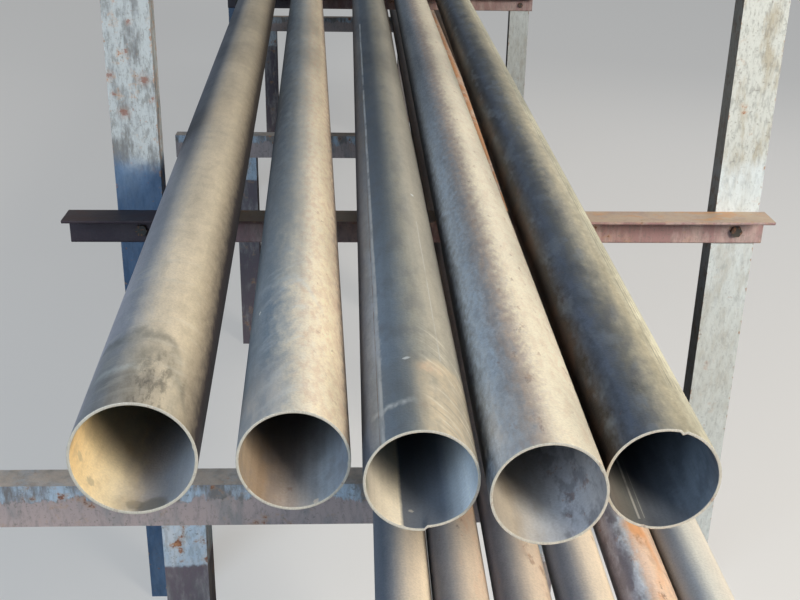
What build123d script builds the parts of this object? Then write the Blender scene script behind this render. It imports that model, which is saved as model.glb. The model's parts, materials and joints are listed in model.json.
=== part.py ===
from build123d import *
from math import cos, radians, sin
import os

# Stack of steel tubes lying on a two-level rack, in millimetres
# +Y runs along the tubes away from their near ends, +X is to the right, +Z is up
# The origin is on the floor, at the middle of the stack's length and width

# Tubes: four of one size and a wider one above, six narrow ones below
large_diameter = 114.3
large_wall = 2.9
wide_diameter = 127.0
wide_wall = 3.2
small_diameter = 63.5
small_wall = 3.0
stock_length = 6000.0

# Room left under a tube where it lies on its beams
seat_clearance = 0.2

# Upper frames: two channel posts with an angle beam bolted across their front faces
beam_top_height = 850.0
beam_length = 1260.0
angle_leg = 60.0
angle_thickness = 6.0
angle_root_radius = 8.0
angle_toe_radius = 4.0
post_height = 1450.0
post_width = 80.0
post_depth = 45.0
post_web = 6.0
post_flange = 7.0
front_left_post_inset = 127.0
rear_left_post_inset = 41.0
right_post_inset = 51.0
front_frame_y = -1901.0
rear_frame_y = 880.0

# One bolt through the gauge line of the angle holds a beam to each post
bolt_diameter = 12.0
bolt_hole_diameter = 14.0
bolt_gauge = 35.0
bolt_head_flats = 19.0
bolt_head_height = 7.5
nut_height = 10.0
nut_bore_clearance = 0.2
bolt_projection = 5.0

# Lower trestles: a channel beam with its web to the front, on two angle legs
# The insets run from the beam's ends to the near edges of the legs
level_drop = 187.0
lower_beam_length = 970.0
lower_beam_centre_x = -145.0
lower_beam_depth = 65.0
lower_beam_flange_width = 42.0
lower_beam_web = 5.5
lower_beam_flange = 6.5
front_left_leg_inset = 241.0
middle_left_leg_inset = 169.0
rear_left_leg_inset = 98.0
right_leg_inset = 181.0
front_trestle_y = -2508.0
middle_trestle_y = -678.0
rear_trestle_y = 1460.0

# What follows from the sizes above
front_left_post_x = front_left_post_inset - beam_length / 2
rear_left_post_x = rear_left_post_inset - beam_length / 2
right_post_x = beam_length / 2 - right_post_inset
lower_beam_top_height = beam_top_height - level_drop
lower_beam_left = lower_beam_centre_x - lower_beam_length / 2
lower_beam_right = lower_beam_centre_x + lower_beam_length / 2

# Rolled channels have flanges that thin towards the toe, with rounded roots and toes
flange_slope = 0.08
channel_root_radius = 6.0
channel_toe_radius = 3.0

# Large tubes, left to right: where each near end is, and its turn to the right in degrees
large_tube_end_x = [-342.5, -185.7, -60.4, 59.6, 174.9]
large_tube_end_y = [-2851.3, -2846.2, -2884.8, -2909.8, -2885.7]
large_tube_turn = [-2.1, -1.8, -0.06, 0.54, 1.23]

# Small tubes, left to right, in the same way
small_tube_end_x = [-72.0, -7.6, 61.0, 131.0, 201.0, 265.0]
small_tube_end_y = [-3120.0, -3072.0, -3152.4, -3095.0, -3130.0, -3060.0]
small_tube_turn = [0.3, 0.3, 0.35, 0.35, 0.4, 0.4]


# Welded tube, sawn square at both ends
def steel_tube(place, diameter, wall, support_height):
    near_x, near_y, turn = place
    axis_height = support_height + seat_clearance + diameter / 2
    near_end = Plane(
        origin=(near_x, near_y, axis_height),
        x_dir=(cos(radians(turn)), -sin(radians(turn)), 0),
        z_dir=(sin(radians(turn)), cos(radians(turn)), 0),
    )
    with BuildPart() as tube:
        with BuildSketch(near_end):
            Circle(diameter / 2)
            Circle(diameter / 2 - wall, mode=Mode.SUBTRACT)
        extrude(amount=stock_length)
    return tube


# Equal angle: its heel is at the plane's origin and its legs lie along the plane's axes
def rolled_angle(plane, length):
    with BuildPart() as angle:
        with BuildSketch(plane) as section:
            with BuildLine():
                Polyline(
                    (0, 0),
                    (angle_leg, 0),
                    (angle_leg, angle_thickness),
                    (angle_thickness, angle_thickness),
                    (angle_thickness, angle_leg),
                    (0, angle_leg),
                    close=True,
                )
            make_face()
            for toe in ((angle_leg, angle_thickness), (angle_thickness, angle_leg)):
                fillet(section.vertices().sort_by_distance((*toe, 0))[0], angle_toe_radius)
            root = (angle_thickness, angle_thickness, 0)
            fillet(section.vertices().sort_by_distance(root)[0], angle_root_radius)
        extrude(amount=length)
    return angle


# Rolled channel: the web's outer face is on the plane's x axis, the flanges point along its y axis
def rolled_channel(plane, length, width, depth, web, flange):
    side = width / 2
    toe_side = side - flange + flange_slope * depth / 2
    root_side = side - flange - flange_slope * (depth / 2 - web)
    with BuildPart() as channel:
        with BuildSketch(plane) as section:
            with BuildLine():
                Polyline(
                    (-side, 0),
                    (side, 0),
                    (side, depth),
                    (toe_side, depth),
                    (root_side, web),
                    (-root_side, web),
                    (-toe_side, depth),
                    (-side, depth),
                    close=True,
                )
            make_face()
            for edge in (-1, 1):
                toe = (edge * toe_side, depth, 0)
                fillet(section.vertices().sort_by_distance(toe)[0], channel_toe_radius)
                root = (edge * root_side, web, 0)
                fillet(section.vertices().sort_by_distance(root)[0], channel_root_radius)
        extrude(amount=length)
    return channel


# Upper post: its web faces the near ends, with one hole for the beam's bolt
def upper_post(post_x, frame_y):
    foot = Plane(origin=(post_x, frame_y, 0))
    channel = rolled_channel(foot, post_height, post_width, post_depth, post_web, post_flange)
    with BuildPart() as post:
        add(channel.part)
        with Locations(bolt_plane(post_x, frame_y)):
            Cylinder(bolt_hole_diameter / 2, 4 * post_web, mode=Mode.SUBTRACT)
    return post


# The bolts run along Y, at the angle's gauge line below the top of the beam
def bolt_plane(post_x, frame_y):
    return Plane(
        origin=(post_x, frame_y, beam_top_height - bolt_gauge),
        x_dir=(1, 0, 0),
        z_dir=(0, -1, 0),
    )


# Upper beam: one leg is the flat top that the tubes lie on, the other hangs against the posts
def upper_beam(frame_y, left_post_x):
    left_end = Plane(
        origin=(-beam_length / 2, frame_y, beam_top_height),
        x_dir=(0, -1, 0),
        z_dir=(1, 0, 0),
    )
    angle = rolled_angle(left_end, beam_length)
    with BuildPart() as beam:
        add(angle.part)
        for post_x in (left_post_x, right_post_x):
            with Locations(bolt_plane(post_x, frame_y)):
                Cylinder(bolt_hole_diameter / 2, 4 * angle_thickness, mode=Mode.SUBTRACT)
    return beam


# Hexagon bolt from the front, with its nut behind the post's web
def beam_bolt(post_x, frame_y):
    hole_axis = bolt_plane(post_x, frame_y)
    head_seat = hole_axis.offset(angle_thickness)
    nut_seat = hole_axis.offset(-post_web - nut_height)
    shank_length = angle_thickness + post_web + nut_height + bolt_projection
    with BuildPart() as bolt:
        with BuildSketch(head_seat):
            RegularPolygon(bolt_head_flats / 2, 6, major_radius=False)
        extrude(amount=bolt_head_height)
        with BuildSketch(head_seat):
            Circle(bolt_diameter / 2)
        extrude(amount=-shank_length)
    with BuildPart() as nut:
        with BuildSketch(nut_seat):
            RegularPolygon(bolt_head_flats / 2, 6, major_radius=False)
            Circle(bolt_diameter / 2 + nut_bore_clearance, mode=Mode.SUBTRACT)
        extrude(amount=nut_height)
    return [bolt.part, nut.part]


# Lower beam: a channel laid on its side, web to the front and flanges to the rear
def lower_beam(trestle_y):
    right_end = Plane(
        origin=(lower_beam_right, trestle_y, lower_beam_top_height - lower_beam_depth / 2),
        x_dir=(0, 0, 1),
        z_dir=(-1, 0, 0),
    )
    return rolled_channel(
        right_end,
        lower_beam_length,
        lower_beam_depth,
        lower_beam_flange_width,
        lower_beam_web,
        lower_beam_flange,
    )


# Trestle leg: an angle under the lower beam, its front flush with the beam's web
# Its heel is on the inner edge, and inward is 1 to the right or -1 to the left
def trestle_leg(outer_edge_x, inward, trestle_y):
    leg_height = lower_beam_top_height - lower_beam_depth
    heel = Plane(
        origin=(outer_edge_x + inward * angle_leg, trestle_y, leg_height if inward > 0 else 0),
        x_dir=(-inward, 0, 0),
        z_dir=(0, 0, -inward),
    )
    return rolled_angle(heel, leg_height)


# Each piece is named and written to its own file
def write_piece(piece, name):
    piece.label = name
    export_step(piece, f"parts/{name}.step")


os.makedirs("parts", exist_ok=True)

for index, place in enumerate(zip(large_tube_end_x, large_tube_end_y, large_tube_turn)):
    diameter, wall = (wide_diameter, wide_wall) if index == 0 else (large_diameter, large_wall)
    write_piece(steel_tube(place, diameter, wall, beam_top_height).part, f"large_tube_{index + 1}")

for index, place in enumerate(zip(small_tube_end_x, small_tube_end_y, small_tube_turn)):
    small_tube = steel_tube(place, small_diameter, small_wall, lower_beam_top_height)
    write_piece(small_tube.part, f"small_tube_{index + 1}")

frames = (
    ("front", front_frame_y, front_left_post_x),
    ("rear", rear_frame_y, rear_left_post_x),
)
for frame_name, frame_y, left_post_x in frames:
    write_piece(upper_beam(frame_y, left_post_x).part, f"{frame_name}_beam")
    write_piece(upper_post(left_post_x, frame_y).part, f"{frame_name}_left_post")
    write_piece(upper_post(right_post_x, frame_y).part, f"{frame_name}_right_post")
    bolts = beam_bolt(left_post_x, frame_y) + beam_bolt(right_post_x, frame_y)
    write_piece(Compound(children=bolts), f"{frame_name}_beam_bolts")

trestles = (
    ("front", front_trestle_y, front_left_leg_inset),
    ("middle", middle_trestle_y, middle_left_leg_inset),
    ("rear", rear_trestle_y, rear_left_leg_inset),
)
for trestle_name, trestle_y, left_leg_inset in trestles:
    left_leg = trestle_leg(lower_beam_left + left_leg_inset, 1, trestle_y)
    right_leg = trestle_leg(lower_beam_right - right_leg_inset, -1, trestle_y)
    write_piece(lower_beam(trestle_y).part, f"{trestle_name}_trestle_beam")
    write_piece(left_leg.part, f"{trestle_name}_trestle_left_leg")
    write_piece(right_leg.part, f"{trestle_name}_trestle_right_leg")
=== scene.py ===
import json
from math import atan2, pi, radians

import bpy
from mathutils import Matrix, Vector


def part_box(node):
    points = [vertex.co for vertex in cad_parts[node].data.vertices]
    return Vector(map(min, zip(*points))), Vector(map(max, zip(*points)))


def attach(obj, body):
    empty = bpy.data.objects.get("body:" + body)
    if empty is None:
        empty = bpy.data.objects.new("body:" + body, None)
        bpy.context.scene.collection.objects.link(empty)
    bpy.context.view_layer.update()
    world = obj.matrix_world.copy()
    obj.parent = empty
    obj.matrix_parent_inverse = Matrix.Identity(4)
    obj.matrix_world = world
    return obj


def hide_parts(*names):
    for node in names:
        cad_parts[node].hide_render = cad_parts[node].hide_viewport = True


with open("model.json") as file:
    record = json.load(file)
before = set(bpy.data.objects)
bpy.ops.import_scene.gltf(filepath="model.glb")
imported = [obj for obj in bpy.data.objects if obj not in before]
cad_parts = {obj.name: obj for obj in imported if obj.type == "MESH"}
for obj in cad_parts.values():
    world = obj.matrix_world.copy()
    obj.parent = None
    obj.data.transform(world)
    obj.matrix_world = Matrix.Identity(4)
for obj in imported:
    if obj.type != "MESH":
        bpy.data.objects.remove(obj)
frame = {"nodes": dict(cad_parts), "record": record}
nodes = frame["nodes"]
mounts = {mount["name"]: mount for mount in frame["record"]["mounts"]}
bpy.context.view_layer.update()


# Camera: just left of the middle, looking down along the tubes
# Its lens is 49.5 mm on a 36 mm wide frame
camera_data = bpy.data.cameras.new("camera")
camera_data.sensor_width = 36.0
camera_data.lens = 49.5
camera_data.clip_end = 60.0
camera = bpy.data.objects.new("camera", camera_data)
bpy.context.scene.collection.objects.link(camera)
look_down = radians(23.27)
look_right = radians(2.85)
lean = radians(1.09)
camera.matrix_world = (
    Matrix.Translation((-0.130, -3.788, 1.487))
    @ Matrix.Rotation(-look_right, 4, "Z")
    @ Matrix.Rotation(pi / 2 - look_down, 4, "X")
    @ Matrix.Rotation(lean, 4, "Z")
)
bpy.context.scene.camera = camera
bpy.context.scene.view_settings.view_transform = "Standard"


# Studio light: a large soft lamp in front on the right, slightly warm
# A weaker cool one in front on the left and an even surround fill the shaded sides
# A third behind and above on the right lays a soft sheen along the tops of the tubes
lamp_aim = Vector((0.0, -2.3, 0.9))
lamp_distance = 5.0
for name, size, energy, tint, direction in (
    ("right_lamp", 2.0, 325.0, (1.0, 0.92, 0.80), (0.60, -0.68, 0.42)),
    ("left_lamp", 3.0, 146.0, (0.62, 0.80, 1.0), (-0.55, -0.78, 0.30)),
    ("rear_lamp", 3.0, 32.0, (1.0, 0.95, 0.88), (0.35, 0.78, 0.52)),
):
    lamp_data = bpy.data.lights.new(name, "AREA")
    lamp_data.shape = "DISK"
    lamp_data.size = size
    lamp_data.energy = energy
    lamp_data.color = tint
    lamp = bpy.data.objects.new(name, lamp_data)
    bpy.context.scene.collection.objects.link(lamp)
    lamp.location = lamp_aim + lamp_distance * Vector(direction)
    lamp.rotation_euler = (lamp_aim - lamp.location).to_track_quat("-Z", "Y").to_euler()

world = bpy.data.worlds.new("surround")
bpy.context.scene.world = world
world.use_nodes = True
surround = world.node_tree.nodes["Background"]
surround.inputs["Color"].default_value = (0.76, 0.88, 1.0, 1.0)
surround.inputs["Strength"].default_value = 0.20


# Floor: a plain pale sheet under the feet of the rack, not part of the stack
# It is pale to the camera and keeps the shadow, and throws little light back up
def new_node(tree, kind, inputs=None, **settings):
    node = tree.nodes.new(kind)
    for setting, value in settings.items():
        setattr(node, setting, value)
    for socket_name, value in (inputs or {}).items():
        socket = node.inputs[socket_name]
        if isinstance(value, bpy.types.NodeSocket):
            tree.links.new(value, socket)
        else:
            socket.default_value = value
    return node


def calc(tree, operation, a, b=0.0, c=0.0):
    return new_node(tree, "ShaderNodeMath", {0: a, 1: b, 2: c}, operation=operation).outputs[0]


def lay_over(tree, mask, under, over):
    inputs = {0: mask, 6: under, 7: over}
    return new_node(tree, "ShaderNodeMix", inputs, data_type="RGBA").outputs[2]


def new_finish(name, metallic, roughness):
    finish = bpy.data.materials.new(name)
    finish.use_nodes = True
    tree = finish.node_tree
    shader = tree.nodes["Principled BSDF"]
    shader.inputs["Metallic"].default_value = metallic
    shader.inputs["Roughness"].default_value = roughness
    return finish, tree, shader


floor_size = 60.0
floor_glow = 0.32
bpy.ops.object.select_all(action="DESELECT")
bpy.ops.mesh.primitive_plane_add(size=floor_size, location=(0.0, 10.0, 0.0))
floor = bpy.context.object
floor.name = "floor"
floor_paint, tree, shader = new_finish("floor_paint", 0.0, 0.9)
ray = new_node(tree, "ShaderNodeLightPath").outputs
mirrored = calc(tree, "MULTIPLY", ray["Is Glossy Ray"], 0.3)
seen = calc(tree, "MAXIMUM", ray["Is Camera Ray"], mirrored)
colour = lay_over(tree, seen, (0.10, 0.10, 0.10, 1.0), (0.50, 0.49, 0.48, 1.0))
tree.links.new(colour, shader.inputs["Base Color"])
shader.inputs["Specular IOR Level"].default_value = 0.0
shader.inputs["Emission Color"].default_value = (1.0, 0.99, 0.97, 1.0)
glow = calc(tree, "MULTIPLY", ray["Is Camera Ray"], floor_glow)
tree.links.new(glow, shader.inputs["Emission Strength"])
floor.data.materials.append(floor_paint)


# Upper posts: rolled channels standing on the floor, webs towards the near ends
# Old whitish paint, bluish on the left, stained in runs and chipped to rust, with painted cool
# shade low down
def spread(tree, value, low, high, to_low=0.0, to_high=1.0):
    inputs = {"Value": value, "From Min": low, "From Max": high}
    inputs.update({"To Min": to_low, "To Max": to_high})
    eased = new_node(tree, "ShaderNodeMapRange", inputs, interpolation_type="SMOOTHSTEP")
    return eased.outputs["Result"]


def stretch(tree, place, factors):
    inputs = {0: place, 1: factors}
    return new_node(tree, "ShaderNodeVectorMath", inputs, operation="MULTIPLY").outputs[0]


def speckle(tree, place, scale, detail=3.0, roughness=0.55):
    inputs = {"Vector": place, "Scale": scale, "Detail": detail, "Roughness": roughness}
    return new_node(tree, "ShaderNodeTexNoise", inputs).outputs["Fac"]


# Specks drawn out along some axis
def drawn_speckle(tree, place, factors, detail=3.0, roughness=0.55):
    return speckle(tree, stretch(tree, place, factors), 1.0, detail, roughness)


# A value made uneven by a noise, by up to half the amount either way
def uneven(tree, value, noise, amount):
    return calc(tree, "MULTIPLY_ADD", calc(tree, "SUBTRACT", noise, 0.5), amount, value)


def split(tree, vector):
    return new_node(tree, "ShaderNodeSeparateXYZ", {0: vector}).outputs


def object_place(tree):
    return new_node(tree, "ShaderNodeTexCoord").outputs["Object"]


def times(tree, *values):
    product = values[0]
    for value in values[1:]:
        product = calc(tree, "MULTIPLY", product, value)
    return product


def bump(tree, shader, height, distance):
    ridge = new_node(tree, "ShaderNodeBump", {"Height": height, "Distance": distance})
    tree.links.new(ridge.outputs["Normal"], shader.inputs["Normal"])


# A shader node group: its inputs are numbers, places of three and colours of four
# Its outputs are numbers, apart from one called Color
def new_group(name, inputs, outputs):
    group = bpy.data.node_groups.new(name, "ShaderNodeTree")
    kinds = {1: "NodeSocketFloat", 3: "NodeSocketVector", 4: "NodeSocketColor"}
    for label, value in inputs.items():
        kind = kinds[len(value) if isinstance(value, tuple) else 1]
        socket = group.interface.new_socket(label, in_out="INPUT", socket_type=kind)
        socket.default_value = value
    for label in outputs:
        kind = kinds[4 if label == "Color" else 1]
        group.interface.new_socket(label, in_out="OUTPUT", socket_type=kind)
    given = group.nodes.new("NodeGroupInput").outputs
    result = group.nodes.new("NodeGroupOutput").inputs
    return group, given, result


def use_group(tree, group, inputs):
    return new_node(tree, "ShaderNodeGroup", inputs, node_tree=group).outputs


def scaled(tree, colour, factor):
    inputs = {0: colour, "Scale": factor}
    return new_node(tree, "ShaderNodeVectorMath", inputs, operation="SCALE").outputs[0]


here = (0.0, 0.0, 0.0)
grey = (0.5, 0.5, 0.5, 1.0)

# Rust: specks that join into patches, from orange to dark brown
rust_bloom, given, result = new_group(
    "rust_bloom", {"Place": here, "Size": 30.0, "Amount": 0.3}, ("Mask", "Color")
)
bloom = speckle(rust_bloom, given["Place"], given["Size"], 5.0, 0.66)
start = calc(rust_bloom, "MULTIPLY_ADD", given["Amount"], -0.45, 0.74)
full = calc(rust_bloom, "ADD", start, 0.08)
rust_bloom.links.new(spread(rust_bloom, bloom, start, full), result["Mask"])
finer = times(rust_bloom, given["Size"], 2.3)
depth = speckle(rust_bloom, given["Place"], finer, 3.0, 0.7)
shades = new_node(rust_bloom, "ShaderNodeValToRGB", {"Fac": depth})
shades.color_ramp.elements[0].position = 0.32
shades.color_ramp.elements[0].color = (0.090, 0.040, 0.026, 1.0)
shades.color_ramp.elements[1].position = 0.70
shades.color_ramp.elements[1].color = (0.55, 0.29, 0.14, 1.0)
shades.color_ramp.elements.new(0.50).color = (0.27, 0.105, 0.055, 1.0)
rust_bloom.links.new(shades.outputs["Color"], result["Color"])

# Old paint: cloudy, streaked downwards, with grey specks and chips ringed by a rust stain
old_paint, given, result = new_group(
    "old_paint",
    {
        "Place": here, "Paint": grey, "Stain": grey, "Stained": 0.5, "Flaked": 0.35,
        "Rust": 0.3, "Size": 24.0,
    },
    ("Color", "Roughness", "Height"),
)
place = given["Place"]
runs = drawn_speckle(old_paint, place, (38.0, 38.0, 11.0), 5.0, 0.65)
specks = speckle(old_paint, place, 210.0, 2.0, 0.7)
low = calc(old_paint, "MULTIPLY_ADD", given["Stained"], -0.4, 0.64)
stained = spread(old_paint, runs, low, calc(old_paint, "ADD", low, 0.20))
colour = lay_over(old_paint, stained, given["Paint"], given["Stain"])
flaked = drawn_speckle(old_paint, place, (150.0, 150.0, 48.0), 4.0, 0.7)
flaked = spread(old_paint, flaked, 0.47, 0.66, 0.0, given["Flaked"])
colour = lay_over(old_paint, flaked, colour, (0.15, 0.15, 0.14, 1.0))
specked = spread(old_paint, specks, 0.58, 0.72, 0.0, 0.6)
colour = lay_over(old_paint, specked, colour, (0.17, 0.16, 0.14, 1.0))
bloom_inputs = {"Place": place, "Size": given["Size"], "Amount": given["Rust"]}
chips = use_group(old_paint, rust_bloom, bloom_inputs)
bloom_inputs["Amount"] = calc(old_paint, "ADD", given["Rust"], 0.13)
ring = use_group(old_paint, rust_bloom, bloom_inputs)
colour = lay_over(old_paint, times(old_paint, ring["Mask"], 0.4), colour, (0.42, 0.28, 0.18, 1.0))
old_paint.links.new(lay_over(old_paint, chips["Mask"], colour, chips["Color"]), result["Color"])
old_paint.links.new(spread(old_paint, chips["Mask"], 0.0, 1.0, 0.5, 0.85), result["Roughness"])
old_paint.links.new(calc(old_paint, "MULTIPLY_ADD", specks, 0.35, runs), result["Height"])

# Edge wear: how near a point is to a section's edge, made ragged
edge_wear, given, result = new_group(
    "edge_wear", {"Place": here, "Across": 0.0, "Edge": 0.04, "Width": 0.006}, ("Mask",)
)
inset = calc(edge_wear, "SUBTRACT", given["Edge"], calc(edge_wear, "ABSOLUTE", given["Across"]))
ragged = calc(edge_wear, "SUBTRACT", speckle(edge_wear, given["Place"], 70.0, 4.0, 0.7), 0.62)
reach = calc(edge_wear, "MULTIPLY_ADD", ragged, 0.05, given["Width"])
inner = calc(edge_wear, "SUBTRACT", reach, 0.003)
edge_wear.links.new(spread(edge_wear, inset, reach, inner), result["Mask"])

# A chip rusted through at one place on a post, with a stain run down from it
rust_spot, given, result = new_group(
    "rust_spot", {"Place": here, "Across": 0.0, "Up": 1.0, "Size": 0.006}, ("Mask", "Stain")
)
parts = split(rust_spot, given["Place"])
aside = calc(rust_spot, "SUBTRACT", parts["X"], given["Across"])
above = calc(rust_spot, "SUBTRACT", parts["Z"], given["Up"])
away = calc(rust_spot, "MULTIPLY_ADD", aside, aside, times(rust_spot, above, above))
away = calc(rust_spot, "SQRT", away)
away = uneven(rust_spot, away, speckle(rust_spot, given["Place"], 160.0, 4.0, 0.7), 0.022)
core = times(rust_spot, given["Size"], 0.4)
rust_spot.links.new(spread(rust_spot, away, given["Size"], core), result["Mask"])
halo = times(rust_spot, given["Size"], 2.2)
rust_spot.links.new(spread(rust_spot, away, halo, core), result["Stain"])


def dress(node_name, finish):
    for slot in nodes[node_name].material_slots:
        slot.material = finish


post_half_width = 0.040
low_shade_top = 0.990
low_shade_full = 0.950


def post_finish(name, post_x, look):
    finish, tree, shader = new_finish(name, 0.0, 0.6)
    place = object_place(tree)
    parts = split(tree, place)
    coat = use_group(tree, old_paint, {"Place": place, **look["coat"]})
    colour = coat["Color"]
    # Low down, from just above the beam, painted shade: a cool blue laid over the paint, dark on
    # the left posts and pale on the right
    ragged = calc(tree, "MULTIPLY_ADD", speckle(tree, place, 14.0, 4.0, 0.6), 0.07, parts["Z"])
    low_down = spread(tree, ragged, low_shade_top, low_shade_full)
    low_down = times(tree, low_down, look["low_shade_strength"])
    runs = drawn_speckle(tree, place, (60.0, 60.0, 24.0), 4.0, 0.65)
    low_shade = scaled(tree, look["low_shade"], calc(tree, "ADD", runs, 0.5))
    colour = lay_over(tree, low_down, colour, low_shade)
    pits = use_group(tree, rust_bloom, {"Place": place, "Size": 95.0, "Amount": look["pits"]})
    colour = lay_over(tree, times(tree, pits["Mask"], 0.75), colour, pits["Color"])
    across = calc(tree, "SUBTRACT", parts["X"], post_x)
    worn_inputs = {"Place": place, "Across": across, "Edge": post_half_width, "Width": 0.004}
    worn = use_group(tree, edge_wear, worn_inputs)["Mask"]
    colour = lay_over(tree, times(tree, worn, 0.8), colour, (0.33, 0.20, 0.13, 1.0))
    if "painted_side_shade" in look:
        # Painted shade: the faces turned to the left, the outside of the left flange, are laid
        # nearly black
        normal = new_node(tree, "ShaderNodeNewGeometry").outputs["Normal"]
        facing = split(tree, normal)["X"]
        side = spread(tree, facing, -0.6, -0.9, 0.0, look["painted_side_shade"])
        colour = lay_over(tree, side, colour, (0.035, 0.030, 0.030, 1.0))
    for spot_x, spot_z, size in look.get("spots", ()):
        spot_inputs = {"Place": place, "Across": spot_x, "Up": spot_z, "Size": size}
        spot = use_group(tree, rust_spot, spot_inputs)
        colour = lay_over(tree, times(tree, spot["Stain"], 0.35), colour, (0.34, 0.22, 0.16, 1.0))
        colour = lay_over(tree, times(tree, spot["Mask"], 0.7), colour, (0.20, 0.080, 0.055, 1.0))
    tree.links.new(colour, shader.inputs["Base Color"])
    tree.links.new(coat["Roughness"], shader.inputs["Roughness"])
    bump(tree, shader, coat["Height"], 0.0012)
    return finish


blue_look = {
    "coat": {
        "Paint": (0.39, 0.425, 0.44, 1.0), "Stain": (0.14, 0.145, 0.15, 1.0),
        "Stained": 0.50, "Flaked": 0.60, "Rust": 0.22, "Size": 34.0,
    },
    "low_shade_strength": 0.85,
    "low_shade": (0.055, 0.115, 0.215),
    "pits": 0.22,
}
chipped_look = {
    **blue_look,
    "spots": [
        (-0.537, 1.091, 0.006), (-0.480, 1.083, 0.008), (-0.518, 1.027, 0.008),
        (-0.507, 1.130, 0.004), (-0.469, 1.049, 0.004), (-0.527, 1.240, 0.005),
        (-0.498, 1.180, 0.004), (-0.534, 1.058, 0.004),
    ],
}
white_look = {
    "coat": {
        "Paint": (0.515, 0.53, 0.50, 1.0), "Stain": (0.38, 0.35, 0.28, 1.0),
        "Stained": 0.40, "Flaked": 0.45, "Rust": 0.14, "Size": 26.0,
    },
    "low_shade_strength": 0.35,
    "low_shade": (0.66, 0.76, 0.84),
    "pits": 0.16,
    "painted_side_shade": 0.75,
}
for node_name, look in (
    ("front_left_post", chipped_look),
    ("rear_left_post", blue_look),
    ("front_right_post", white_look),
    ("rear_right_post", white_look),
):
    corner, far_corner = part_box(node_name)
    dress(node_name, post_finish(node_name + "_paint", (corner[0] + far_corner[0]) / 2, look))


# Upper beams: rolled angle bolted across the posts, with the tubes lying on its flat top
# Red-brown primer under pale dust, with orange rust coming through along the top
settled_dust, given, result = new_group(
    "settled_dust", {"Place": here, "Amount": 0.7}, ("Mask",)
)
normal = new_node(settled_dust, "ShaderNodeNewGeometry").outputs["Normal"]
upward = split(settled_dust, normal)["Z"]
drift = speckle(settled_dust, given["Place"], 26.0, 5.0, 0.65)
drift = spread(settled_dust, drift, 0.30, 0.60, 0.5, 1.0)
lying = times(settled_dust, spread(settled_dust, upward, 0.35, 0.9), drift, given["Amount"])
settled_dust.links.new(lying, result["Mask"])

primer, tree, shader = new_finish("red_brown_primer", 0.0, 0.7)
place = object_place(tree)
parts = split(tree, place)
coat = use_group(tree, old_paint, {
    "Place": place, "Paint": (0.32, 0.19, 0.19, 1.0), "Stain": (0.43, 0.31, 0.29, 1.0),
    "Stained": 0.6, "Rust": 0.22, "Size": 30.0,
})
dust = use_group(tree, settled_dust, {"Place": place, "Amount": 0.95})
colour = lay_over(tree, dust["Mask"], coat["Color"], (0.53, 0.40, 0.28, 1.0))
drawn = stretch(tree, place, (0.5, 1.0, 1.0))
blotch = use_group(tree, rust_bloom, {"Place": drawn, "Size": 24.0, "Amount": 0.52})
blotched = times(tree, blotch["Mask"], dust["Mask"], 0.8)
colour = lay_over(tree, blotched, colour, (0.60, 0.30, 0.13, 1.0))
# The edges of the beam's hanging leg are worn
leg_middle_height = 0.820
leg_half_width = 0.030
from_middle = calc(tree, "SUBTRACT", parts["Z"], leg_middle_height)
worn_inputs = {"Place": place, "Across": from_middle, "Edge": leg_half_width, "Width": 0.004}
worn = use_group(tree, edge_wear, worn_inputs)["Mask"]
colour = lay_over(tree, times(tree, worn, 0.6), colour, (0.50, 0.33, 0.22, 1.0))
# Painted shade: the left end is laid dark
ragged = calc(tree, "MULTIPLY_ADD", speckle(tree, place, 30.0, 4.0, 0.6), 0.12, parts["X"])
painted_end_shade = spread(tree, ragged, -0.25, -0.35, 0.0, 0.92)
colour = lay_over(tree, painted_end_shade, colour, (0.020, 0.014, 0.024, 1.0))
tree.links.new(colour, shader.inputs["Base Color"])
tree.links.new(coat["Roughness"], shader.inputs["Roughness"])
bump(tree, shader, coat["Height"], 0.001)
for name in ("front_beam", "rear_beam"):
    dress(name, primer)


# Beam bolts: plain steel hexagon bolts and nuts, one of each where a beam crosses a post
# They were never painted, and are dark with rust
bolt_rust, tree, shader = new_finish("bolt_rust", 0.4, 0.65)
place = object_place(tree)
rust = use_group(tree, rust_bloom, {"Place": place, "Size": 130.0, "Amount": 0.5})
colour = lay_over(tree, times(tree, rust["Mask"], 0.7), (0.06, 0.055, 0.05, 1.0), rust["Color"])
tree.links.new(colour, shader.inputs["Base Color"])
bump(tree, shader, speckle(tree, place, 300.0), 0.0004)
dress("front_beam_bolts", bolt_rust)
dress("rear_beam_bolts", bolt_rust)


# Lower trestles: channel beams on angle legs, once painted light blue
# The paint is left along the top of the web and high on the legs, over brown rust
def trestle_finish(name, paint_ends, unevenness, stain, bare_colour, rust):
    finish, tree, shader = new_finish(name, 0.0, 0.75)
    place = object_place(tree)
    height = split(tree, place)["Z"]
    drawn = stretch(tree, place, (1.0, 1.0, 0.5))
    edge = uneven(tree, height, speckle(tree, drawn, 34.0, 5.0, 0.7), unevenness)
    painted = spread(tree, edge, paint_ends, paint_ends + 0.006)
    coat = use_group(tree, old_paint, {
        "Place": place, "Paint": (0.44, 0.52, 0.60, 1.0), "Stain": stain,
        "Stained": 0.62, "Rust": 0.34, "Size": 45.0,
    })
    bare = use_group(tree, old_paint, {
        "Place": place, "Paint": bare_colour, "Stain": (0.30, 0.27, 0.26, 1.0),
        "Stained": 0.45, "Rust": rust, "Size": 30.0,
    })
    colour = lay_over(tree, painted, bare["Color"], coat["Color"])
    dust = use_group(tree, settled_dust, {"Place": place, "Amount": 0.9})
    colour = lay_over(tree, dust["Mask"], colour, (0.80, 0.63, 0.50, 1.0))
    tree.links.new(colour, shader.inputs["Base Color"])
    bump(tree, shader, calc(tree, "MULTIPLY_ADD", painted, 0.5, bare["Height"]), 0.0012)
    return finish


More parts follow.
